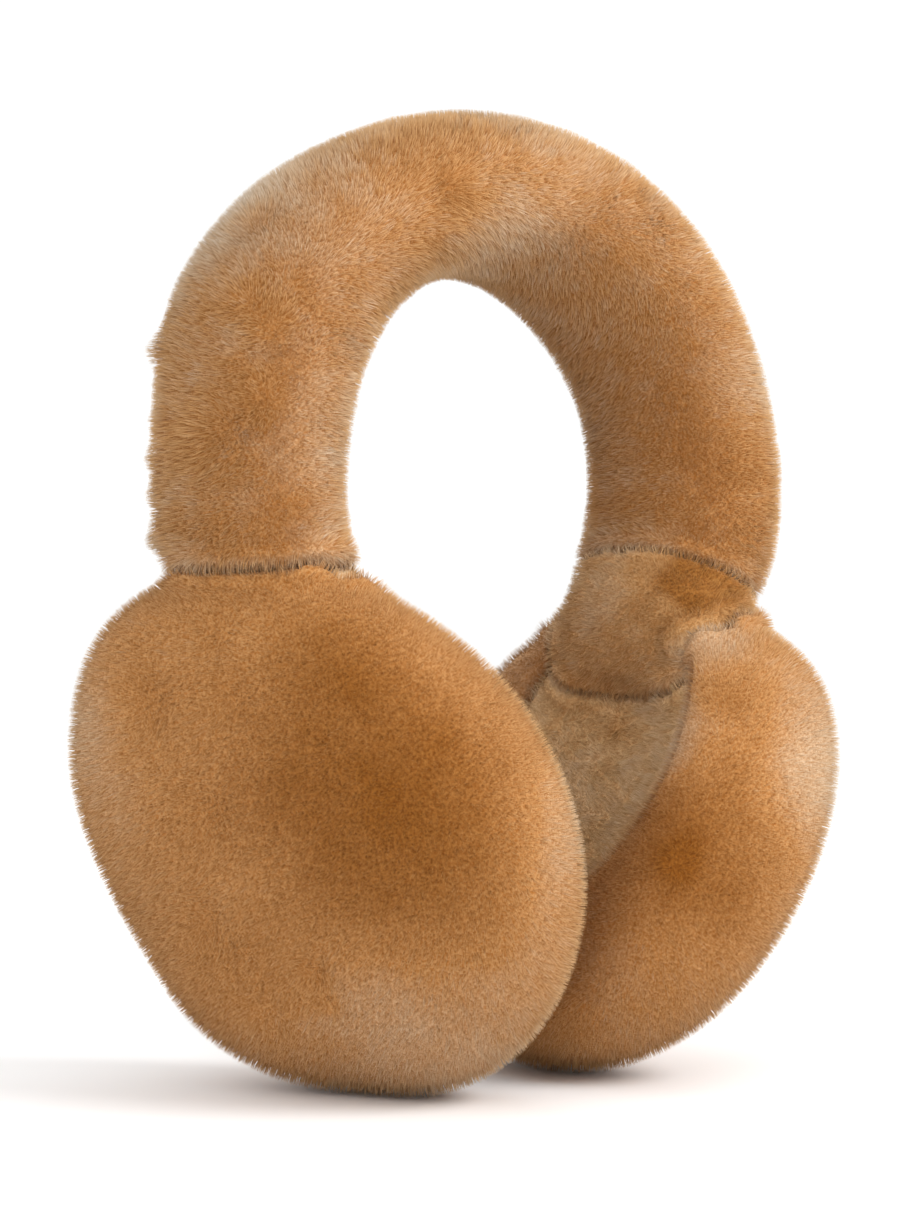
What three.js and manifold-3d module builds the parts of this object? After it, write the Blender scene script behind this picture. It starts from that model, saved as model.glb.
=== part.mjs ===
// Fur earmuffs: a fat fur headband, two short neck sleeves and two domed ear pads.
//
// Units are millimetres and +Z is up. X runs from ear to ear, with the left pad at -X, and the
// front of the object faces -Y. The pads stand on their flat bottoms at z = 0, and the origin is
// the middle of the footprint. Every solid is the outer form of its fur, as deep as the pile stands.

import * as THREE from 'three';
import { mergeVertices } from 'three/addons/utils/BufferGeometryUtils.js';
import Module from 'manifold-3d';

const wasm = await Module();
wasm.setup();

// ---------------------------------------------------------------- driving dimensions

const GAP = 0.45;                 // clear space between pieces that lie on each other
const UNDERGROUND = { across: 400, deep: 40 };   // a slab that takes in all that is below z = 0

const ARCH = {
  halfSpan: 68,                   // centreline half width, ear to ear
  rise: 65.2,                     // centreline height of the crown above the widest point
  widestZ: 144.4,                 // height of the widest point
  leanPivotZ: 125,                // height about which the arch leans
  leanBack: 2.4,                  // degrees that the arch leans back
  halfThick: 19.5,                // half the tube's thickness, away from the head
  halfWide: 27.4,                 // half the tube's width, front to back
  swell: 0.6,                     // how far the hand-sewn tube swells and narrows
  swellsAlong: 5,                 // swells along the arch, for each radian
  swellsRound: 2,                 // swells round the section
  slantReach: 0.35,               // share of each leg along which the end's slant fades in
};

const PAD = {
  halfLong: 69.4,                 // half the oval's long axis
  halfShort: 65.0,                // half the oval's short axis
  ovalPower: 2.08,                // 2 is an ellipse, more is squarer
  domeDepth: 30,                  // from the rim's widest ring out to the top of the dome
  domePower: 2.5,                 // the same for the dome's profile
  domeLift: 3,                    // how far the fullest part of the dome is lifted
  shallowPower: 6,                // how narrowly the rim is lowered at its top, where the neck is
};

// How each side sits. The pads are soft and sewn by hand, so the two aren't quite alike: toeIn
// closes the front edges, cant closes the bottoms and ovalTilt dips the long axis toward the front.
// frontRim is how much deeper the front of the rim is, against how much shallower its top is. The
// neck swells toward the head by its bulge and is narrower by the share in narrow. bandEnd is the
// angle from the crown to the tube's end, slant is how far the end's face is turned and taper is
// the share by which the tube narrows toward it.
const SIDES = [
  {
    word: 'left', side: -1, x: 47.6, y: 0, z: 59.2, size: 0.975,
    toeIn: 11, cant: 21, ovalTilt: 24, frontRim: 0,
    bulge: -7, narrow: 0.18, bandEnd: 106.5, slant: -14, taper: 0.05,
  },
  {
    word: 'right', side: 1, x: 45.0, y: 0, z: 56.2, size: 0.96,
    toeIn: 7.5, cant: 26.5, ovalTilt: 15, frontRim: 0.4,
    bulge: 8.5, narrow: 0, bandEnd: 108.3, slant: 5, taper: 0,
  },
];

// Where a pad's fur is fuller or flatter than its oval: the angle above the front, the share of
// the radius, and how narrow the place is.
const LOBES = [
  { word: 'left', at: 78, share: 0.13, power: 7 },
  { word: 'left', at: 222, share: -0.045, power: 3 },
  { word: 'right', at: 60, share: 0.03, power: 5 },
  { word: 'right', at: -45, share: -0.03, power: 3 },
];

const AROUND_TUBE = 26;           // facets round the headband
const ALONG_TUBE = 44;            // sections along the headband
const AROUND_PAD = 40;            // facets round a pad
const AROUND_NECK = 28;           // facets round a neck sleeve
const DOME_RINGS = 7;             // rings from the rim to the top of the dome

// The tube's ends turn in to a flat face: past the last section, and the share of its size.
const TUBE_END = [
  { past: 3.0, size: 0.955 },
  { past: 5.2, size: 0.865 },
  { past: 6.2, size: 0.76 },
];

// The ear side of a cup, ring by ring: depth toward the ear, half axes, how far the ring's centre
// is lifted, how much shallower its top is than its bottom, and the share it takes of its side's
// lobes. The rim is fattest low down, and thins toward the top where the neck comes in.
const RIM_RINGS = [
  { toEar: 8, long: 68.0, short: 64.8, lift: 0, shallow: 2, lobed: 0.6 },
  { toEar: 16, long: 65.4, short: 61.2, lift: 0, shallow: 5, lobed: 0.3 },
  { toEar: 22, long: 59.5, short: 55.2, lift: 2, shallow: 8 },
  { toEar: 25, long: 51.5, short: 47.6, lift: 6, shallow: 10 },
  { toEar: 24, long: 45.5, short: 42.0, lift: 10, shallow: 11 },
  { toEar: 18.5, long: 42.5, short: 38.6, lift: 13, shallow: 8 },
  { toEar: 11, long: 41.5, short: 37.5, lift: 14.5, shallow: 4 },
  { toEar: 4.5, long: 39.5, short: 35.5, lift: 14.5, shallow: 0.5 },
  { toEar: 2, long: 31.5, short: 27.5, lift: 14, shallow: 0 },
];
const RECESS_FLOOR = { toEar: 1.5, lift: 14, shallow: 0 };

// The dished cushion in the recess, from its back to its ear side.
const LINING_BACK = { toEar: 2.1, lift: 14, shallow: 0 };
const LINING_RINGS = [
  { toEar: 2.8, long: 30.5, short: 26.5, lift: 14, shallow: 0 },
  { toEar: 5.4, long: 38.6, short: 34.6, lift: 14.5, shallow: 0.5 },
  { toEar: 11, long: 40.6, short: 36.6, lift: 14.5, shallow: 4 },
  { toEar: 15, long: 40.2, short: 36.2, lift: 13.8, shallow: 6 },
  { toEar: 17.2, long: 36.8, short: 32.5, lift: 13.5, shallow: 6 },
  { toEar: 15.2, long: 30.5, short: 26.5, lift: 13, shallow: 4 },
  { toEar: 11.4, long: 21.0, short: 17.0, lift: 12.5, shallow: 2 },
];
const LINING_DISH = { toEar: 9.6, lift: 12.5, shallow: 0 };

// A neck sleeve, from the headband's end down into the recess, where it fans out: height above
// the pad's centre along its plane, depth toward the ear, half sizes, and the share it takes of
// its side's bulge.
const NECK_TOP = { up: 69, toEar: 8, bulge: 0.5 };
const NECK_RINGS = [
  { up: 68, toEar: 8, thick: 12.5, wide: 21.5, bulge: 0.5 },
  { up: 65, toEar: 9, thick: 14.3, wide: 26, bulge: 0.8 },
  { up: 60, toEar: 9.5, thick: 15, wide: 28.6, bulge: 1 },
  { up: 54, toEar: 10.5, thick: 14, wide: 29.6, bulge: 1 },
  { up: 47, toEar: 12.5, thick: 11.8, wide: 31, bulge: 0.7 },
  { up: 41, toEar: 14, thick: 9.6, wide: 31.8, bulge: 0.3 },
  { up: 36, toEar: 14.8, thick: 7, wide: 30, bulge: 0 },
  { up: 33.4, toEar: 15, thick: 4, wide: 25, bulge: 0 },
];
const NECK_TOE = { up: 32.6, toEar: 15, bulge: 0 };

const rad = THREE.MathUtils.degToRad;

// ---------------------------------------------------------------- lofting and cutting

// Closes a stack of rings with a point at each end, and turns the faces outward.
function loft(firstTip, rings, lastTip) {
  const count = rings[0].length;
  const points = [firstTip, ...rings.flat(), lastTip];
  const faces = [];
  const at = (ring, step) => 1 + ring * count + (step % count);
  const last = points.length - 1;
  for (let step = 0; step < count; step += 1) {
    faces.push([0, at(0, step + 1), at(0, step)]);
    for (let ring = 0; ring + 1 < rings.length; ring += 1) {
      faces.push([at(ring, step), at(ring, step + 1), at(ring + 1, step + 1)]);
      faces.push([at(ring, step), at(ring + 1, step + 1), at(ring + 1, step)]);
    }
    faces.push([last, at(rings.length - 1, step), at(rings.length - 1, step + 1)]);
  }
  let volume = 0;
  for (const [a, b, c] of faces) {
    volume += points[a].dot(new THREE.Vector3().crossVectors(points[b], points[c]));
  }
  const turned = volume < 0 ? faces.map(([a, b, c]) => [a, c, b]) : faces;
  const geometry = new THREE.BufferGeometry();
  geometry.setAttribute('position',
    new THREE.Float32BufferAttribute(points.flatMap((p) => [p.x, p.y, p.z]), 3));
  geometry.setIndex(turned.flat());
  return geometry;
}

function toSolid(geometry) {
  const bare = geometry.clone();
  bare.deleteAttribute('normal');
  bare.deleteAttribute('uv');
  const merged = mergeVertices(bare);
  return new wasm.Manifold(new wasm.Mesh({
    numProp: 3,
    vertProperties: new Float32Array(merged.attributes.position.array),
    triVerts: new Uint32Array(merged.index.array),
  }));
}

function toGeometry(solid) {
  const mesh = solid.getMesh();
  const geometry = new THREE.BufferGeometry();
  geometry.setAttribute('position', new THREE.BufferAttribute(mesh.vertProperties, 3));
  geometry.setIndex(new THREE.BufferAttribute(mesh.triVerts, 1));
  geometry.computeVertexNormals();
  return geometry;
}

// Everything below the surface that the object stands on.
function underground() {
  const slab = new THREE.BoxGeometry(UNDERGROUND.across, UNDERGROUND.across, UNDERGROUND.deep);
  slab.translate(0, 0, -UNDERGROUND.deep / 2);
  return toSolid(slab);
}

// ---------------------------------------------------------------- headband

// A point on the tube at an angle from the crown and an angle round the section. The station
// also says how much of the section's size is left, and how far past the arch's end it lies.
function tubePoint({ angle, size, past, slant }, round, grow = 0) {
  const swell = ARCH.swell * Math.sin(ARCH.swellsAlong * angle + ARCH.swellsRound * round);
  const outward = new THREE.Vector3(
    ARCH.rise * Math.sin(angle), 0, ARCH.halfSpan * Math.cos(angle)).normalize();
  const onward = new THREE.Vector3(outward.z, 0, -outward.x).multiplyScalar(Math.sign(angle));
  const thick = ((ARCH.halfThick + swell) * size + grow) * Math.cos(round);
  const wide = ((ARCH.halfWide + swell) * size + grow) * Math.sin(round);
  const point = new THREE.Vector3(
    ARCH.halfSpan * Math.sin(angle), wide, ARCH.widestZ + ARCH.rise * Math.cos(angle));
  point.addScaledVector(outward, thick);
  point.addScaledVector(onward, past + slant * thick);
  const pivot = new THREE.Vector3(0, 0, ARCH.leanPivotZ);
  return point.sub(pivot).applyAxisAngle(new THREE.Vector3(1, 0, 0), -rad(ARCH.leanBack)).add(pivot);
}

function headband(grow = 0) {
  const [start, end] = SIDES.map(({ side, bandEnd }) => side * rad(bandEnd));
  const sideOf = (angle) => SIDES[angle < 0 ? 0 : 1];
  const fullSlant = (angle) => Math.tan(rad(sideOf(angle).slant));
  const endRow = (angle, row) => ({
    angle, size: row.size - sideOf(angle).taper, past: row.past + grow, slant: fullSlant(angle),
  });
  const along = [];
  for (let k = 0; k <= ALONG_TUBE; k += 1) {
    const angle = start + (end - start) * (k / ALONG_TUBE);
    const toEnd = 1 - Math.abs(angle) / Math.abs(angle < 0 ? start : end);
    const fade = Math.max(0, 1 - toEnd / ARCH.slantReach) ** 2;
    const size = 1 - sideOf(angle).taper * fade;
    along.push({ angle, size, past: 0, slant: fullSlant(angle) * fade });
  }
  const stations = [
    ...[...TUBE_END].reverse().map((row) => endRow(start, row)),
    ...along,
    ...TUBE_END.map((row) => endRow(end, row)),
  ];
  const rings = stations.map((station) => {
    const ring = [];
    for (let k = 0; k < AROUND_TUBE; k += 1) {
      ring.push(tubePoint(station, (2 * Math.PI * k) / AROUND_TUBE, grow));
    }
    return ring;
  });
  const reach = TUBE_END[TUBE_END.length - 1].past;
  const tip = (angle) => tubePoint({ angle, size: 0, past: reach + grow, slant: 0 }, 0);
  return toSolid(loft(tip(start), rings, tip(end)));
}

// ---------------------------------------------------------------- ear pads

// The directions of a pad: out of the dome, toward the front, and up in the pad's plane.
function padFrame({ word, side, x, y, z, size, toeIn, cant, ovalTilt, frontRim }) {
  const out = new THREE.Vector3(
    side * Math.cos(rad(toeIn)) * Math.cos(rad(cant)),
    -Math.sin(rad(toeIn)) * Math.cos(rad(cant)),
    -Math.sin(rad(cant)));
  const front = new THREE.Vector3(-side * Math.sin(rad(toeIn)), -Math.cos(rad(toeIn)), 0);
  const up = new THREE.Vector3().crossVectors(out, front);
  if (up.z < 0) up.negate();
  const tilt = rad(ovalTilt);
  return {
    centre: new THREE.Vector3(side * x, y, z),
    size,
    tilt,
    frontRim,
    lobes: LOBES.filter((lobe) => lobe.word === word),
    out,
    front,
    up,
    long: front.clone().multiplyScalar(Math.cos(tilt)).addScaledVector(up, -Math.sin(tilt)),
    short: front.clone().multiplyScalar(Math.sin(tilt)).addScaledVector(up, Math.cos(tilt)),
  };
}

const squarer = (value, power) => Math.sign(value) * Math.abs(value) ** (2 / power);

function padTip(frame, row) {
  return frame.centre.clone()
    .addScaledVector(frame.out, -row.toEar)
    .addScaledVector(frame.up, row.lift * frame.size);
}

// How much fuller a pad is than its oval at an angle above its front.
function lobesAt(frame, aboveFront) {
  let sum = 0;
  for (const { at, share, power } of frame.lobes) {
    sum += share * Math.max(0, Math.cos(aboveFront - rad(at))) ** power;
  }
  return sum;
}

function padRing(frame, row) {
  const ring = [];
  for (let k = 0; k < AROUND_PAD; k += 1) {
    const turn = (2 * Math.PI * k) / AROUND_PAD;
    const aboveFront = turn - frame.tilt;
    const upness = Math.max(0, Math.sin(aboveFront));
    const frontness = Math.max(0, Math.cos(aboveFront));
    const shallower = row.shallow * (upness ** PAD.shallowPower - frame.frontRim * frontness ** 2);
    const size = frame.size * (1 + (row.lobed ?? 0) * lobesAt(frame, aboveFront));
    ring.push(padTip(frame, row)
      .addScaledVector(frame.out, shallower)
      .addScaledVector(frame.long, row.long * size * squarer(Math.cos(turn), PAD.ovalPower))
      .addScaledVector(frame.short, row.short * size * squarer(Math.sin(turn), PAD.ovalPower)));
  }
  return ring;
}

function earShell(frame) {
  const dome = [];
  for (let k = 1; k <= DOME_RINGS; k += 1) {
    const turn = (Math.PI / 2) * (k / DOME_RINGS);
    const share = squarer(Math.sin(turn), PAD.domePower);
    dome.push({
      toEar: -PAD.domeDepth * squarer(Math.max(Math.cos(turn), 0), PAD.domePower),
      long: PAD.halfLong * share,
      short: PAD.halfShort * share,
      lift: PAD.domeLift * Math.sin(2 * turn),
      shallow: 0,
      lobed: share ** 2,
    });
  }
  const rings = [...dome, ...RIM_RINGS].map((row) => padRing(frame, row));
  const pole = { toEar: -PAD.domeDepth, lift: PAD.domeLift / 2 };
  return toSolid(loft(padTip(frame, pole), rings, padTip(frame, RECESS_FLOOR)));
}

function earLining(frame) {
  const rings = LINING_RINGS.map((row) => padRing(frame, row));
  return toSolid(loft(padTip(frame, LINING_BACK), rings, padTip(frame, LINING_DISH)));
}

// ---------------------------------------------------------------- neck sleeves

function neckSleeve(frame, { bulge, narrow }, grow = 0) {
  const middle = (NECK_TOP.up + NECK_TOE.up) / 2;
  const half = (NECK_TOP.up - NECK_TOE.up) / 2;
  const centre = (row) => frame.centre.clone()
    .addScaledVector(frame.out, -row.toEar - (bulge * row.bulge) / 2)
    .addScaledVector(frame.up, row.up * frame.size + (grow * (row.up - middle)) / half);
  const rings = NECK_RINGS.map((row) => {
    const thick = row.thick + (bulge * row.bulge) / 2 + grow;
    const wide = row.wide * (1 - narrow) * frame.size + grow;
    const ring = [];
    for (let k = 0; k < AROUND_NECK; k += 1) {
      const turn = (2 * Math.PI * k) / AROUND_NECK;
      ring.push(centre(row)
        .addScaledVector(frame.out, thick * Math.cos(turn))
        .addScaledVector(frame.front, wide * Math.sin(turn)));
    }
    return ring;
  });
  return toSolid(loft(centre(NECK_TOP), rings, centre(NECK_TOE)));
}

// ---------------------------------------------------------------- assembly

function fur(colour) {
  return new THREE.MeshStandardMaterial({ color: colour, roughness: 0.95, metalness: 0 });
}

const outerFur = fur('#b98550');
const collarFur = fur('#a97b4d');
const liningFur = fur('#977045');

function piece(name, solid, material) {
  const mesh = new THREE.Mesh(toGeometry(solid), material);
  mesh.name = name;
  return mesh;
}

const earmuffs = new THREE.Group();
const band = headband();
const grownBand = headband(GAP);
const ground = underground();
earmuffs.add(piece('headband', band, outerFur));

for (const sitting of SIDES) {
  const frame = padFrame(sitting);
  const neck = neckSleeve(frame, sitting).subtract(grownBand);
  const grownNeck = neckSleeve(frame, sitting, GAP);
  const shell = earShell(frame).subtract(grownNeck).subtract(grownBand).subtract(ground);
  const lining = earLining(frame).subtract(grownNeck);
  earmuffs.add(piece(`neck_sleeve_${sitting.word}`, neck, collarFur));
  earmuffs.add(piece(`ear_shell_${sitting.word}`, shell, outerFur));
  earmuffs.add(piece(`ear_lining_${sitting.word}`, lining, liningFur));
}

// The origin is the middle of the footprint.
const footprint = new THREE.Box3().setFromObject(earmuffs).getCenter(new THREE.Vector3());
earmuffs.position.set(-footprint.x, -footprint.y, 0);

export default earmuffs;
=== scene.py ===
"""Fur earmuffs: padded skins under a deep clipped pile, standing on a pale studio floor.

Each soft solid of the frame is covered by two pieces: a padded skin, which lies a pile's depth
inside the solid's outer form, and the pile itself, thousands of fine tapered hairs that grow from
the skin and end about where the solid does.
"""

import math

import bpy
import numpy as np
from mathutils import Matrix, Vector, bvhtree, kdtree, noise


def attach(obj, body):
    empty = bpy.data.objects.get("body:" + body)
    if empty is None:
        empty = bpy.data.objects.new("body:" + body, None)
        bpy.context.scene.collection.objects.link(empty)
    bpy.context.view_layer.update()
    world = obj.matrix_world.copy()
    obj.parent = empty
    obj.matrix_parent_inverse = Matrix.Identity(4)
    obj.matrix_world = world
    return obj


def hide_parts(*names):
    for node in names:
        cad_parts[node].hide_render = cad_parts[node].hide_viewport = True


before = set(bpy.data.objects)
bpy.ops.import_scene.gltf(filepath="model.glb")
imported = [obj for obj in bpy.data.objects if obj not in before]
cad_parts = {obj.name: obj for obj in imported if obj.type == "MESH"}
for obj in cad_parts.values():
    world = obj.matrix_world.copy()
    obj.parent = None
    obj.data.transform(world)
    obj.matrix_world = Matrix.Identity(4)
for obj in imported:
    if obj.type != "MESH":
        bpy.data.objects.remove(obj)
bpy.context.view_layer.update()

MM = 0.001

# ------------------------------------------------------------------ sizes and tables

# The skin under each piece's pile, and how the pile grows on it. Lengths are in millimetres:
# depth is how far the skin lies inside the outer form, voxel is the grain of the padded mesh, pile
# is how tall the hairs are and clump is the width of a lock. Hairs are in thousands, tone runs from
# 0, deep, to 1, pale, lean is how far the pile lies over, pull is how far a lock's tips close up,
# and rumple is how uneven the pile is.
FURS = (
    dict(node="headband", slot="headband_fur", depth=1.7, voxel=3.5, pile=2.8,
         hairs=120, tone=0.54, clump=1.7, lean=0.36, pull=0.20, rumple=0.14),
    dict(node="ear_shell_left", slot="pad_fur", depth=2.2, voxel=3.3, pile=2.4,
         hairs=62, tone=0.43, clump=1.5, lean=0.18, pull=0.04, rumple=0.04),
    dict(node="ear_shell_right", slot="pad_fur", depth=2.4, voxel=3.3, pile=2.4,
         hairs=62, tone=0.49, clump=1.5, lean=0.20, pull=0.05, rumple=0.05),
    dict(node="ear_lining_left", slot="lining_fur", depth=2.4, voxel=3.0, pile=2.6,
         hairs=12, tone=0.56, clump=3.0, lean=0.38, pull=0.45, rumple=0.45),
    dict(node="ear_lining_right", slot="lining_fur", depth=2.4, voxel=3.0, pile=2.6,
         hairs=14, tone=0.56, clump=3.0, lean=0.38, pull=0.45, rumple=0.45),
    dict(node="neck_sleeve_left", slot="collar_fur", depth=2.2, voxel=3.0, pile=2.4,
         hairs=8, tone=0.52, clump=2.2, lean=0.38, pull=0.30, rumple=0.28),
    dict(node="neck_sleeve_right", slot="collar_fur", depth=2.2, voxel=3.0, pile=2.4,
         hairs=14, tone=0.52, clump=2.2, lean=0.38, pull=0.30, rumple=0.28),
)

# Where the padding is fuller or leaner than the plain form: at and size are where the place is and
# its radius, and out is how far the skin stands out there, all in millimetres.
FULLNESS = (
    dict(node="ear_shell_left", at=(-84, 32, 108), size=34, out=2.6),
    dict(node="ear_shell_left", at=(-76, 46, 48), size=36, out=-2.4),
    dict(node="ear_shell_left", at=(-58, 18, 14), size=34, out=3.6),
    dict(node="ear_shell_right", at=(52, -60, 55), size=50, out=-0.8),
    dict(node="headband", at=(-68, 10, 199), size=44, out=1.6),
    dict(node="headband", at=(-84, 14, 154), size=30, out=-2.4),
)

# Broad zones of the pile: at and size are where the zone is and its radius, in millimetres, and
# tone is how much paler it is. Most of these tones are painted light: the deep middles and darker
# stretches are painted shade, and the pale rims and edges a painted sheen where only tips show.
TONE_SHADE_AND_SHEEN_ZONES = (
    dict(node="ear_shell_left", at=(-68, -46, 72), size=52, tone=-0.42),
    dict(node="ear_shell_left", at=(-74, -36, 112), size=24, tone=-0.14),
    dict(node="ear_shell_left", at=(-28, -64, 66), size=28, tone=0.28),
    dict(node="ear_shell_left", at=(-46, -58, 100), size=26, tone=0.12),
    dict(node="ear_shell_left", at=(-88, 40, 84), size=40, tone=0.24),
    dict(node="ear_shell_left", at=(-44, -32, 4), size=52, tone=0.30),
    dict(node="ear_shell_left", at=(-34, -58, 38), size=28, tone=0.10),
    dict(node="ear_shell_right", at=(18, -54, 56), size=32, tone=-0.36),
    dict(node="ear_shell_right", at=(33, -54, 90), size=26, tone=-0.20),
    dict(node="ear_shell_right", at=(58, -58, 76), size=32, tone=0.38),
    dict(node="ear_shell_right", at=(40, -36, 108), size=22, tone=0.25),
    dict(node="ear_shell_right", at=(8, -42, 30), size=26, tone=0.06),
    dict(node="ear_shell_right", at=(20, -42, 84), size=22, tone=0.42),
    dict(node="ear_shell_right", at=(30, 42, 98), size=30, tone=0.45),
    dict(node="headband", at=(60, -28, 150), size=34, tone=-0.20),
    dict(node="headband", at=(-4, -20, 199), size=24, tone=0.18),
    dict(node="headband", at=(-22, -16, 216), size=30, tone=-0.08),
    dict(node="headband", at=(12, 0, 228), size=36, tone=0.15),
    dict(node="headband", at=(70, -24, 162), size=26, tone=0.22),
    dict(node="headband", at=(-58, -26, 150), size=28, tone=0.16),
    dict(node="headband", at=(-84, 0, 150), size=26, tone=-0.04),
    dict(node="headband", at=(-63, 14, 203), size=38, tone=0.44),
    dict(node="neck_sleeve_right", at=(50, -24, 112), size=22, tone=-0.35),
    dict(node="neck_sleeve_right", at=(58, -16, 116), size=20, tone=-0.70),
    dict(node="neck_sleeve_right", at=(38, 0, 118), size=20, tone=0.20),
)

# Smaller places where the pile also lies another way: part is how far the tips lean away from the
# middle, or toward it where it is below 0, and longer is how much further they stand out.
SPOTS = (
    # partings and pressed-down spots, their hollows darkened with painted shade
    dict(node="ear_shell_left", at=(-89, 12, 91), size=12, tone=-0.16, part=0.7, longer=-0.15),
    dict(node="ear_shell_left", at=(-87, -9, 107), size=8, tone=-0.14, part=0.7, longer=-0.10),
    dict(node="ear_shell_left", at=(-85, -13, 93), size=9, tone=-0.10, part=0.6, longer=-0.10),
    dict(node="ear_shell_left", at=(-82, 0, 66), size=14, tone=-0.10, part=0.5, longer=-0.10),
    dict(node="ear_shell_left", at=(-74, 11, 41), size=12, tone=-0.10, part=0.6, longer=-0.10),
    dict(node="ear_shell_left", at=(-62, 2, 21), size=9, tone=-0.06, part=0.7, longer=-0.10),
    dict(node="ear_shell_left", at=(-64, -17, 31), size=7, tone=-0.20, part=1.0, longer=-0.20),
    dict(node="ear_shell_left", at=(-60, -17, 24), size=6, tone=-0.20, part=0.9, longer=-0.20),
    dict(node="ear_shell_right", at=(13, -54, 54), size=9, tone=-0.26, part=1.0, longer=-0.20),
    dict(node="ear_shell_right", at=(33, -50, 92), size=9, tone=-0.12, part=0.6, longer=-0.10),
    dict(node="headband", at=(-26, -24, 208), size=9, tone=-0.22, part=0.8, longer=-0.10),
    dict(node="headband", at=(-85, -7, 151), size=14, tone=-0.12, part=0.7, longer=-0.10),
    dict(node="headband", at=(-79, -18, 159), size=9, tone=-0.18, part=0.7, longer=-0.10),
    dict(node="headband", at=(-77, -9, 181), size=9, tone=-0.14, part=0.9, longer=-0.15),
    dict(node="headband", at=(-75, -16, 175), size=9, tone=-0.12, part=0.9, longer=-0.15),
    dict(node="headband", at=(-67, 0, 199), size=10, tone=-0.20, part=0.6, longer=-0.10),
    dict(node="ear_lining_right", at=(48, 4, 84), size=9, tone=-0.20, part=0.8, longer=-0.10),
    # tufts: ragged ones along the band's outer edge, and a small one on a lining
    dict(node="headband", at=(-77, 22, 171), size=6, tone=0.15, part=-0.5, longer=0.80),
    dict(node="headband", at=(-82, 15, 162), size=5, tone=0.15, part=-0.5, longer=0.65),
    dict(node="headband", at=(-84, 15, 154), size=6, tone=0.15, part=-0.5, longer=0.75),
    dict(node="headband", at=(-83, 17, 146), size=6, tone=0.15, part=-0.5, longer=0.85),
    dict(node="headband", at=(-82, 18, 138), size=5, tone=0.15, part=-0.5, longer=0.75),
    dict(node="headband", at=(-79, 17, 128), size=7, tone=0.15, part=-0.5, longer=0.80),
    dict(node="headband", at=(-76, 16, 119), size=6, tone=0.10, part=-0.4, longer=0.50),
    dict(node="headband", at=(76, -24, 146), size=5, tone=0.15, part=-0.4, longer=0.40),
    dict(node="headband", at=(74, -25, 134), size=5, tone=0.15, part=-0.4, longer=0.40),
    dict(node="ear_lining_right", at=(43, -8, 72), size=8, tone=0.20, part=-0.6, longer=0.10),
)

RISE = 1.6 * MM                   # how far the skin rises under a spot, for each unit of longer
PARTING = 2.5                     # how far the tips turn at a spot, for each unit of part

# How the pile lies, as sideways reach for each unit of height: patch is how wide a stretch lies one
# way, fall is how far all of it hangs, and lock and loose are how far each lock and hair strays.
NAP = dict(patch=24 * MM, fall=0.08, lock=0.05, loose=0.06)
RUMPLE = dict(patch=7 * MM, lean=1.6, tone=0.9)       # for each unit of a piece's rumple
TONE = dict(patch=0.08, lock=0.05, loose=0.05)        # how much the tones stray
MOTTLE = dict(size=20 * MM, rough=0.7, finer=2.0, layers=4)           # of the tones' patches
TONE_ENDS = (0.02, 0.98)          # the deepest and palest hair

# How much the hairs' lengths stray, and within how many times that.
LENGTH = dict(lock=0.02, lock_ends=(-2, 2), loose=0.03, loose_ends=(-3, 2))
PULL = dict(least=0.4, more=1.2, most=0.9)            # how unevenly a lock's tips close up
UPRIGHT = dict(length=0.6, room=0.25)                 # how upright a hair counts as, at least

# Along a seam the pile is combed over the gap: lean is how strongly, below 0 because it is toward
# the neighbour, and fades out over reach. There the hairs stand seam high and are paler by tone, a
# painted light that lifts the shade in the gap, and those with less than room above them are left out.
COMBED = dict(lean=-0.8, reach=3.0 * MM, seam=2.4 * MM, room=0.8 * MM, tone=0.3)
SPREAD = 5                        # rounds of smoothing that find the way out of a gap
OUTLOOK = 6                       # how far past its own pile a piece looks for a neighbour, in mm

HAIR_WIDTH = 0.13 * MM            # half the width of a hair at its root
THINNEST, THICKER = 0.75, 0.5     # of that width: the least, and how much more there may be
ROOTED = 0.4 * MM                 # how deep in the skin a hair starts
ROUND = 0.7                       # how much a hair shades as a round thing, not as its skin
TIP_ROUND = 0.2                   # how much its tip shades along the hair
HAIR_MAP = "OFBake"               # runs from deep to pale along U, and from root to tip along V
HAIR_SPAN = 0.25                  # of the map, from root to tip
HAIR_HALF = 0.008                 # of the map, half the width of a hair
MOST_FACES = 199000               # in one piece of pile
FLOOR_CLEAR = 0.3 * MM
SEED = 11                         # of the noise, and of each piece's draws with its number added

PRESSURE = 4.0                    # of the padding under the skins
SWELL = 1.0 * MM                  # the most that it may move them
TICKS = 20                        # steps of the simulation
SOFTEN = dict(factor=0.5, iterations=3)
MERGE = 0.01 * MM                 # corners that are nearer than this are one

# Along a seam the skin isn't drawn in, and comes out to its solid: fully where it is nearer than
# near to its neighbour, and not at all where it is further than clear.
SEAM = dict(near=2.2 * MM, clear=5.5 * MM)


# ------------------------------------------------------------------ small tools

def alone(piece):
    """Selects a piece and nothing else."""
    bpy.ops.object.select_all(action="DESELECT")
    piece.select_set(True)
    bpy.context.view_layer.objects.active = piece


def modify(piece, kind, **settings):
    """Puts a modifier on a piece and applies it."""
    alone(piece)
    modifier = piece.modifiers.new(kind.title(), kind)
    for name, value in settings.items():
        setattr(modifier, name, value)
    bpy.ops.object.modifier_apply(modifier=modifier.name)


def unit(rows):
    """Each row at a length of 1."""
    return rows / np.maximum(np.linalg.norm(rows, axis=1, keepdims=True), 1e-12)


def places_of(mesh):
    values = np.empty(len(mesh.vertices) * 3, np.float32)
    mesh.vertices.foreach_get("co", values)
    return values.reshape(-1, 3).astype(float)


def normals_of(mesh):
    values = np.empty(len(mesh.vertices) * 3, np.float32)
    mesh.vertex_normals.foreach_get("vector", values)
    return unit(values.reshape(-1, 3).astype(float))


def move_to(mesh, places):
    mesh.vertices.foreach_set("co", places.astype(np.float32).ravel())
    mesh.update()


# ------------------------------------------------------------------ skins

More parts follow.
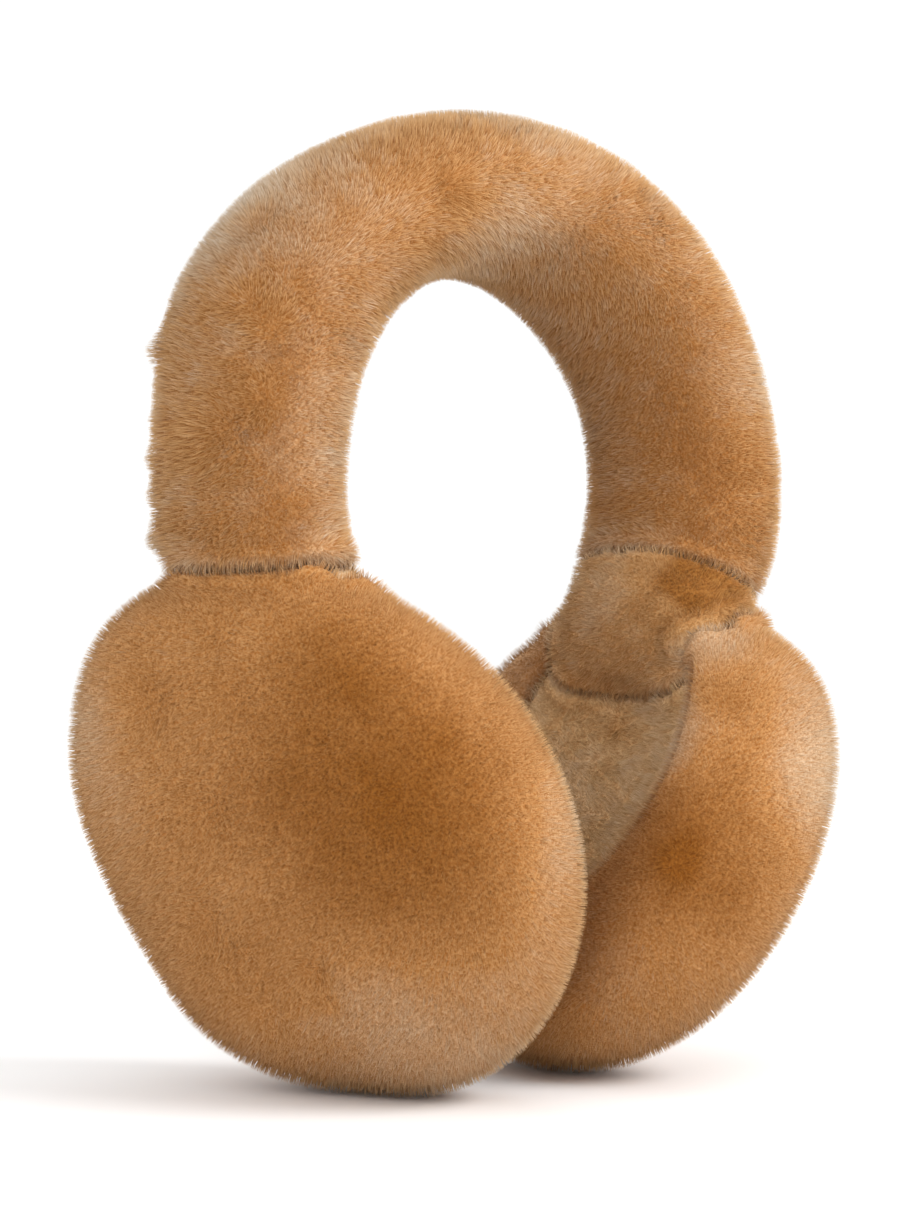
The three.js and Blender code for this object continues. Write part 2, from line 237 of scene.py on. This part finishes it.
def free_share(places, others):
    """For each place, 0 where it lies on a neighbouring piece and 1 where it is well clear."""
    share = np.ones(len(places))
    for k, place in enumerate(places):
        for tree in others:
            distance = tree.find_nearest(Vector(place), SEAM["clear"])[3]
            if distance is not None:
                part = (distance - SEAM["near"]) / (SEAM["clear"] - SEAM["near"])
                share[k] = min(share[k], max(part, 0.0))
    return share * share * (3 - 2 * share)


def rows_at(table, fur, places):
    """The piece's rows of a table, each with the places' offsets from it and its strength there."""
    for row in table:
        if row["node"] == fur["node"]:
            off = places - np.array(row["at"]) * MM
            near = np.clip(1 - (off ** 2).sum(1) / (row["size"] * MM) ** 2, 0, 1)
            yield row, off, near * near


def puff(skin, share):
    """Lets the padding press the skin out like cloth over air, within each place's share of a cap."""
    before = places_of(skin.data)
    cloth = skin.modifiers.new("Cloth", "CLOTH")
    cloth.settings.use_pressure = True
    cloth.settings.uniform_pressure_force = PRESSURE
    cloth.settings.effector_weights.gravity = 0
    cloth.point_cache.frame_end = TICKS
    for tick in range(1, TICKS + 1):
        bpy.context.scene.frame_set(tick)
    shown = skin.evaluated_get(bpy.context.evaluated_depsgraph_get())
    moved = places_of(shown.data) - before
    skin.modifiers.remove(cloth)
    bpy.context.scene.frame_set(1)
    far = np.linalg.norm(moved, axis=1, keepdims=True)
    kept = np.minimum(far, SWELL) / np.maximum(far, 1e-9) * share[:, None]
    move_to(skin.data, before + moved * kept)


def meet_neighbours(skin, own, others):
    """Brings the skin back out to its solid along the seams, so that they close."""
    places = places_of(skin.data)
    share = free_share(places, others)
    for k in np.flatnonzero(share < 1):
        place = Vector(places[k])
        places[k] = own.find_nearest(place)[0].lerp(place, share[k])
    move_to(skin.data, places)


def make_skin(fur, trees):
    """The padded skin of one piece: a copy of its solid, drawn in by the pile's depth."""
    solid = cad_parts[fur["node"]]
    others = [tree for node, tree in trees.items() if node != fur["node"]]
    skin = bpy.data.objects.new(fur["node"] + "_skin", solid.data.copy())
    bpy.context.scene.collection.objects.link(skin)
    skin.data.materials.clear()
    alone(skin)
    bpy.ops.object.mode_set(mode="EDIT")
    bpy.ops.mesh.select_all(action="SELECT")
    bpy.ops.mesh.remove_doubles(threshold=MERGE)
    bpy.ops.object.mode_set(mode="OBJECT")
    modify(skin, "REMESH", mode="VOXEL", voxel_size=fur["voxel"] * MM)
    modify(skin, "SMOOTH", **SOFTEN)
    share = free_share(places_of(skin.data), others)
    drawn = fur["depth"] * MM * share
    for spot, _, near in rows_at(SPOTS, fur, places_of(skin.data)):
        drawn = drawn - RISE * spot["longer"] * near * share
    for fuller, _, near in rows_at(FULLNESS, fur, places_of(skin.data)):
        drawn = drawn - fuller["out"] * MM * near * share
    move_to(skin.data, places_of(skin.data) - normals_of(skin.data) * drawn[:, None])
    modify(skin, "SMOOTH", **SOFTEN)
    puff(skin, share)
    modify(skin, "SUBSURF", levels=1, render_levels=1)
    meet_neighbours(skin, trees[fur["node"]], others)
    skin.data.shade_smooth()
    return skin


def paint_tone(skin, tone):
    """Keeps the pile's tone, with the painted shade and sheen that zones, spots and seams put in it,
    on the skin, for its material.
    """
    layer = skin.data.attributes.new("tone", "FLOAT", "POINT")
    layer.data.foreach_set("value", tone.clip(0, 1).astype(np.float32))


# ------------------------------------------------------------------ pile

def solid_tree(node):
    """A node's solid, as a tree that finds what is nearest to a place or ahead of it."""
    return bvhtree.BVHTree.FromObject(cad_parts[node], bpy.context.evaluated_depsgraph_get())


def way_out(mesh, places, clear):
    """At each vertex, the way along the skin that leads away from the neighbouring pieces."""
    ends = np.empty(len(mesh.edges) * 2, np.int32)
    mesh.edges.foreach_get("vertices", ends)
    first, second = ends.reshape(-1, 2).T
    edges_at = np.bincount(ends, minlength=len(places))
    for _ in range(SPREAD):
        total = clear.copy()
        np.add.at(total, first, clear[second])
        np.add.at(total, second, clear[first])
        clear = total / (edges_at + 1)
    step = places[second] - places[first]
    rise = step * ((clear[second] - clear[first]) / (step ** 2).sum(1))[:, None]
    way = np.zeros_like(places)
    np.add.at(way, first, rise)
    np.add.at(way, second, rise)
    return unit(way)


def lie_of_pile(fur, skin, trees):
    """What the pile does at each of the skin's vertices."""
    places = places_of(skin.data)
    normals = normals_of(skin.data)
    count = len(places)
    reach = (fur["pile"] + OUTLOOK) * MM
    room = np.full(count, reach)
    clear = np.full(count, reach)
    lean = np.zeros((count, 3))
    tone = np.full(count, fur["tone"])
    longer = np.ones(count)
    others = [tree for node, tree in trees.items() if node != fur["node"]]
    for k in range(count):
        place = Vector(places[k])
        for tree in others:
            above = tree.ray_cast(place, Vector(normals[k]), reach)[3]
            room[k] = min(room[k], reach if above is None else above)
            beside = tree.find_nearest(place, reach)[3]
            clear[k] = min(clear[k], reach if beside is None else beside)
        lean[k] = fur["lean"] * np.array(noise.noise_vector(place / NAP["patch"]))
        lean[k][2] -= NAP["fall"]
        tone[k] += TONE["patch"] * noise.fractal(
            place / MOTTLE["size"], MOTTLE["rough"], MOTTLE["finer"], MOTTLE["layers"])
        rumple = fur["rumple"] * np.array(noise.noise_vector(place / RUMPLE["patch"]))
        lean[k] += RUMPLE["lean"] * rumple
        tone[k] += RUMPLE["tone"] * rumple[2]
        longer[k] += rumple[2]
    seam = np.clip(1 - clear / COMBED["reach"], 0, 1)
    lean += COMBED["lean"] * way_out(skin.data, places, clear) * seam[:, None]
    # painted light: the pile along a seam is made paler against the shade in its gap
    tone += COMBED["tone"] * seam
    # painted shade in the deep middles and darker stretches, painted sheen on the pale rims
    for zone, _, near in rows_at(TONE_SHADE_AND_SHEEN_ZONES, fur, places):
        tone += zone["tone"] * near
    for spot, off, near in rows_at(SPOTS, fur, places):
        side = off / (spot["size"] * MM)
        lean += spot["part"] * side * (near * PARTING)[:, None]
        # darker at partings and pressed-down spots as painted shade in their hollows, paler at the
        # tufts
        tone += spot["tone"] * near
        longer += spot["longer"] * near
    height = fur["pile"] * MM * longer
    height += (COMBED["seam"] - height) * seam
    return dict(place=places, normal=normals, room=room, lean=lean, tone=tone, height=height)


def scatter(mesh, count, rng):
    """Roots spread evenly over a mesh: the corners of each root's face, and its share of each."""
    mesh.calc_loop_triangles()
    corners = np.empty(len(mesh.loop_triangles) * 3, np.int32)
    mesh.loop_triangles.foreach_get("vertices", corners)
    corners = corners.reshape(-1, 3)
    sizes = np.empty(len(corners), np.float32)
    mesh.loop_triangles.foreach_get("area", sizes)
    total = np.cumsum(sizes.astype(float))
    spread = (np.arange(count) + rng.random(count)) / count * total[-1]
    face = np.searchsorted(total, spread).clip(0, len(corners) - 1)
    first, second = rng.random((2, count))
    fold = first + second > 1
    first[fold], second[fold] = 1 - first[fold], 1 - second[fold]
    share = np.stack([1 - first - second, first, second], 1)
    return corners[face], share


def between(field, corners, share):
    """A field of the vertices, read at the roots."""
    if field.ndim == 1:
        return (field[corners] * share).sum(1)
    return (field[corners] * share[:, :, None]).sum(1)


def pick_locks(fur, places, area, rng):
    """The number of the lock that each hair belongs to, and the hair at the middle of each lock."""
    count = len(places)
    locks = rng.choice(count, min(count, int(area / (fur["clump"] * MM) ** 2)), replace=False)
    tree = kdtree.KDTree(len(locks))
    for number, root in enumerate(locks):
        tree.insert(places[root], number)
    tree.balance()
    return np.array([tree.find(root)[1] for root in places]), locks


def grow_pile(fur, skin, trees, seed):
    """The pile of one piece, rooted evenly in its skin and gathered in locks."""
    rng = np.random.default_rng(seed)
    lie = lie_of_pile(fur, skin, trees)
    paint_tone(skin, lie["tone"])
    corners, share = scatter(skin.data, fur["hairs"] * 1000, rng)
    at = {name: between(field, corners, share) for name, field in lie.items()}
    keep = at["room"] > COMBED["room"]
    at = {name: rows[keep] for name, rows in at.items()}
    place = at["place"]
    normal = unit(at["normal"])
    count = len(place)
    area = sum(face.area for face in skin.data.polygons) * keep.mean()
    lock, middles = pick_locks(fur, place, area, rng)

    lean = at["lean"] + NAP["loose"] * rng.normal(size=(count, 3))
    lean += NAP["lock"] * rng.normal(size=(len(middles), 3))[lock]
    lean -= normal * (lean * normal).sum(1, keepdims=True)
    along = unit(normal + lean)
    upright = (along * normal).sum(1)
    varied = 1 + LENGTH["lock"] * rng.normal(size=len(middles))[lock].clip(*LENGTH["lock_ends"])
    varied += LENGTH["loose"] * rng.normal(size=count).clip(*LENGTH["loose_ends"])
    length = at["height"] / np.maximum(upright, UPRIGHT["length"]) * varied
    free = at["room"] / np.maximum(upright, UPRIGHT["room"])
    tip = place + along * np.minimum(length, free)[:, None]

    close = fur["pull"] * (PULL["least"] + PULL["more"] * rng.random(count))
    tip += (tip[middles][lock] - tip) * close.clip(0, PULL["most"])[:, None]
    tip[:, 2] = np.maximum(tip[:, 2], FLOOR_CLEAR)
    tone = at["tone"] + TONE["lock"] * rng.normal(size=len(middles))[lock]
    tone += TONE["loose"] * rng.normal(size=count)
    return make_hairs(fur, place, tip, normal, tone.clip(*TONE_ENDS), rng)


def make_hairs(fur, root, tip, normal, tone, rng):
    """Three-sided tapered hairs, in as many pieces as the limit on faces asks for."""
    pieces = []
    parts = math.ceil(len(root) * 3 / MOST_FACES)
    order = np.argsort(root[:, 0], kind="stable")
    for part, rows in enumerate(np.array_split(order, parts)):
        name = fur["node"] + "_pile" + (f"_{part + 1}" if parts > 1 else "")
        pieces.append(hair_mesh(name, root[rows], tip[rows], normal[rows], tone[rows], rng))
    return pieces


def hair_mesh(name, root, tip, normal, tone, rng):
    """One piece of pile: three corners round each root and one at its tip, with three faces."""
    count = len(root)
    along = unit(tip - root)
    aside = unit(np.cross(along, rng.normal(size=(count, 3))))
    across = np.cross(along, aside)
    points = np.empty((count, 4, 3))
    normals = np.empty((count, 4, 3))
    width = HAIR_WIDTH * (THINNEST + THICKER * rng.random(count))[:, None]
    for side in range(3):
        turn = 2 * math.pi * side / 3
        radial = math.cos(turn) * aside + math.sin(turn) * across
        points[:, side] = root - along * ROOTED + radial * width
        normals[:, side] = unit(normal + ROUND * radial)
    points[:, 3] = tip
    normals[:, 3] = unit(normal + TIP_ROUND * along)
    faces = np.array(((0, 1, 3), (1, 2, 3), (2, 0, 3)))
    corners = (faces.ravel()[None, :] + 4 * np.arange(count)[:, None]).ravel()
    mesh = bpy.data.meshes.new(name)
    mesh.vertices.add(count * 4)
    mesh.vertices.foreach_set("co", points.astype(np.float32).ravel())
    mesh.loops.add(len(corners))
    mesh.loops.foreach_set("vertex_index", corners.astype(np.int32))
    mesh.polygons.add(count * 3)
    mesh.polygons.foreach_set("loop_start", np.arange(0, count * 9, 3, dtype=np.int32))
    mesh.update(calc_edges=True)
    layer = mesh.uv_layers.new(name=HAIR_MAP)
    uv = np.empty((count, 3, 3, 2))
    tone = HAIR_HALF + tone * (1 - 2 * HAIR_HALF)
    uv[:, :, 0, 0] = (tone - HAIR_HALF)[:, None]
    uv[:, :, 1, 0] = (tone + HAIR_HALF)[:, None]
    uv[:, :, 2, 0] = tone[:, None]
    uv[:, :, 0:2, 1] = 0.0
    uv[:, :, 2, 1] = HAIR_SPAN
    layer.uv.foreach_set("vector", uv.astype(np.float32).ravel())
    mesh.shade_smooth()
    mesh.normals_split_custom_set_from_vertices(normals.reshape(-1, 3).astype(np.float32))
    piece = bpy.data.objects.new(name, mesh)
    bpy.context.scene.collection.objects.link(piece)
    return piece


# ------------------------------------------------------------------ materials

TIP_SHARE = 1.6                   # above 1, the tips' colour comes in late along a hair

# The speckle between the hairs: deep is the noise that shows the roots' colour alone.
GRAIN = dict(scale=1500.0, detail=3.0, deep=0.30, contrast=1.1, bump=0.8, height=0.6 * MM)


class Shade:
    """A value in a material: an output socket, which arithmetic on values builds on."""

    def __init__(self, tree, socket=None):
        self.tree = tree
        self.socket = socket

    def feed(self, socket, value):
        """Links a value to an input socket, or sets a plain number or colour on it."""
        if isinstance(value, Shade):
            self.tree.links.new(value.socket, socket)
        else:
            socket.default_value = value

    def node(self, kind, settings=(), inputs=(), output=0):
        """A node of this kind: its settings are made first, then its sockets are set or linked."""
        made = self.tree.nodes.new(kind)
        for name, value in dict(settings).items():
            if name == "stops":
                ramp = made.color_ramp.elements
                while len(ramp) < len(value):
                    ramp.new(0.5)
                for element, (position, colour) in zip(ramp, value):
                    element.position = position
                    element.color = (*colour, 1.0)
            else:
                setattr(made, name, value)
        for name, value in dict(inputs).items():
            self.feed(made.inputs[name], value)
        return Shade(self.tree, made.outputs[output])

    def maths(self, operation, first, second):
        return self.node("ShaderNodeMath", {"operation": operation}, {0: first, 1: second})

    def __sub__(self, other):
        return self.maths("SUBTRACT", self, other)

    def __rsub__(self, other):
        return self.maths("SUBTRACT", other, self)

    def __mul__(self, other):
        return self.maths("MULTIPLY", self, other)

    def __rmul__(self, other):
        return self.maths("MULTIPLY", other, self)

    def __pow__(self, other):
        return self.maths("POWER", self, other)

    def ramp(self, *colours):
        """Colours spread evenly from 0 to 1."""
        stops = [(k / (len(colours) - 1), colour) for k, colour in enumerate(colours)]
        return self.node("ShaderNodeValToRGB", {"stops": stops}, {0: self})

    def mix(self, first, second):
        """Two colours mixed by this value: the colours' sockets are 6 and 7, and the result's is 2."""
        return self.node("ShaderNodeMix", {"data_type": "RGBA", "clamp_factor": True},
                         {0: self, 6: first, 7: second}, 2)


def new_material(name, roughness, sheen=0.0, sheen_tint=(1.0, 1.0, 1.0)):
    """A dull material, with the start of its arithmetic and its shader."""
    material = bpy.data.materials.new(name)
    material.use_nodes = True
    tree = material.node_tree
    shader = tree.nodes["Principled BSDF"]
    shader.inputs["Roughness"].default_value = roughness
    shader.inputs["Specular IOR Level"].default_value = 0.15
    shader.inputs["Sheen Weight"].default_value = sheen
    shader.inputs["Sheen Roughness"].default_value = 0.5
    shader.inputs["Sheen Tint"].default_value = (*sheen_tint, 1.0)
    return material, Shade(tree), shader


def pile_material(name, roots, tips):
    """Hairs from root to tip, in tones from deep to pale."""
    material, shade, shader = new_material(name, roughness=0.75, sheen=0.18,
                                           sheen_tint=(1.0, 0.82, 0.60))
    uv = shade.node("ShaderNodeUVMap", {"uv_map": HAIR_MAP})
    tone = shade.node("ShaderNodeSeparateXYZ", (), {0: uv}, 0)
    along = shade.node("ShaderNodeSeparateXYZ", (), {0: uv}, 1) * (1 / HAIR_SPAN)
    paler = along ** TIP_SHARE
    shade.feed(shader.inputs["Base Color"], paler.mix(tone.ramp(*roots), tone.ramp(*tips)))
    return material


def skin_material(name, roots, tips):
    """The roots between the hairs: a fine grain of deep and pale, in the pile's own tones."""
    material, shade, shader = new_material(name, roughness=0.9, sheen=0.2,
                                           sheen_tint=(1.0, 0.8, 0.55))
    where = shade.node("ShaderNodeTexCoord", output="Object")
    grain = shade.node("ShaderNodeTexNoise", (),
                       {"Vector": where, "Scale": GRAIN["scale"], "Detail": GRAIN["detail"]})
    tone = shade.node("ShaderNodeAttribute", {"attribute_name": "tone"}, output="Fac")
    speck = (grain - GRAIN["deep"]) * GRAIN["contrast"]
    shade.feed(shader.inputs["Base Color"], speck.mix(tone.ramp(*roots), tone.ramp(*tips)))
    bump = shade.node("ShaderNodeBump", (),
                      {"Height": grain, "Strength": GRAIN["bump"], "Distance": GRAIN["height"]})
    shade.feed(shader.inputs["Normal"], bump)
    return material


# The colours of the piles at their roots and tips, each row for deep, middle and pale hairs.
HONEY = dict(
    roots=((0.18, 0.052, 0.003), (0.35, 0.130, 0.024), (0.47, 0.285, 0.140)),
    tips=((0.48, 0.195, 0.030), (0.80, 0.485, 0.215), (0.87, 0.770, 0.630)),
)
COLLAR = dict(
    roots=((0.22, 0.075, 0.010), (0.44, 0.210, 0.065), (0.54, 0.340, 0.180)),
    tips=((0.52, 0.240, 0.055), (0.86, 0.570, 0.285), (0.94, 0.800, 0.600)),
)
# The linings' colours are paler than the others: painted light that lifts the shade they lie in.
SHADE_LIFTED = dict(
    roots=((0.34, 0.150, 0.040), (0.50, 0.275, 0.110), (0.62, 0.400, 0.210)),
    tips=((0.70, 0.420, 0.160), (0.92, 0.690, 0.390), (0.97, 0.840, 0.640)),
)
PALETTES = {"headband_fur": HONEY, "pad_fur": HONEY, "collar_fur": COLLAR, "lining_fur": SHADE_LIFTED}
PILE = {slot: pile_material(slot + "_pile", **colours) for slot, colours in PALETTES.items()}
SKIN = {slot: skin_material(slot + "_skin", **colours) for slot, colours in PALETTES.items()}


# ------------------------------------------------------------------ building

noise.seed_set(SEED)              # left unset, noise_vector follows the clock
trees = {fur["node"]: solid_tree(fur["node"]) for fur in FURS}
for number, fur in enumerate(FURS):
    skin = make_skin(fur, trees)
    skin.data.materials.append(SKIN[fur["slot"]])
    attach(skin, "root")
    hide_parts(fur["node"])
    for piece in grow_pile(fur, skin, trees, SEED + number):
        piece.data.materials.append(PILE[fur["slot"]])
        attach(piece, "root")
        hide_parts(fur["node"])


# ------------------------------------------------------------------ studio

MIDDLE = (0.0, 0.0, 0.11)         # what the lights aim at, in metres
VIEW = dict(azimuth=-41, elevation=0.8, distance=0.887, target=(-0.0072, 0.0, 0.1124), lens=112.3)


def lay_floor():
    bpy.ops.object.select_all(action="DESELECT")
    bpy.ops.mesh.primitive_circle_add(vertices=96, radius=12, fill_type="NGON")
    floor = bpy.context.active_object
    floor.name = "studio_floor"
    material, _, shader = new_material("floor_paper", roughness=0.9)
    shader.inputs["Base Color"].default_value = (0.95, 0.95, 0.95, 1.0)
    floor.data.materials.append(material)


def area_light(name, place, size, power):
    bpy.ops.object.light_add(type="AREA", location=place)
    light = bpy.context.active_object
    light.name = name
    light.data.shape = "DISK"
    light.data.size = size
    light.data.energy = power
    light.rotation_euler = (Vector(MIDDLE) - Vector(place)).to_track_quat("-Z", "Y").to_euler()


def set_studio():
    world = bpy.data.worlds.new("studio")
    world.use_nodes = True
    world.node_tree.nodes["Background"].inputs["Color"].default_value = (1.0, 1.0, 1.0, 1.0)
    world.node_tree.nodes["Background"].inputs["Strength"].default_value = 1.08
    bpy.context.scene.world = world
    area_light("key", place=(0.55, -1.35, 1.1), size=0.9, power=21)
    area_light("fill", place=(-1.3, -0.7, 0.7), size=0.9, power=4.5)
    bpy.context.scene.view_settings.view_transform = "Standard"


def set_camera():
    azimuth = math.radians(VIEW["azimuth"])
    elevation = math.radians(VIEW["elevation"])
    back = Vector((math.sin(azimuth) * math.cos(elevation),
                   -math.cos(azimuth) * math.cos(elevation),
                   math.sin(elevation)))
    bpy.ops.object.camera_add(location=Vector(VIEW["target"]) + back * VIEW["distance"])
    camera = bpy.context.active_object
    camera.name = "camera"
    camera.data.sensor_width = 36
    camera.data.lens = VIEW["lens"]
    camera.rotation_euler = (-back).to_track_quat("-Z", "Y").to_euler()
    bpy.context.scene.camera = camera


lay_floor()
set_studio()
set_camera()
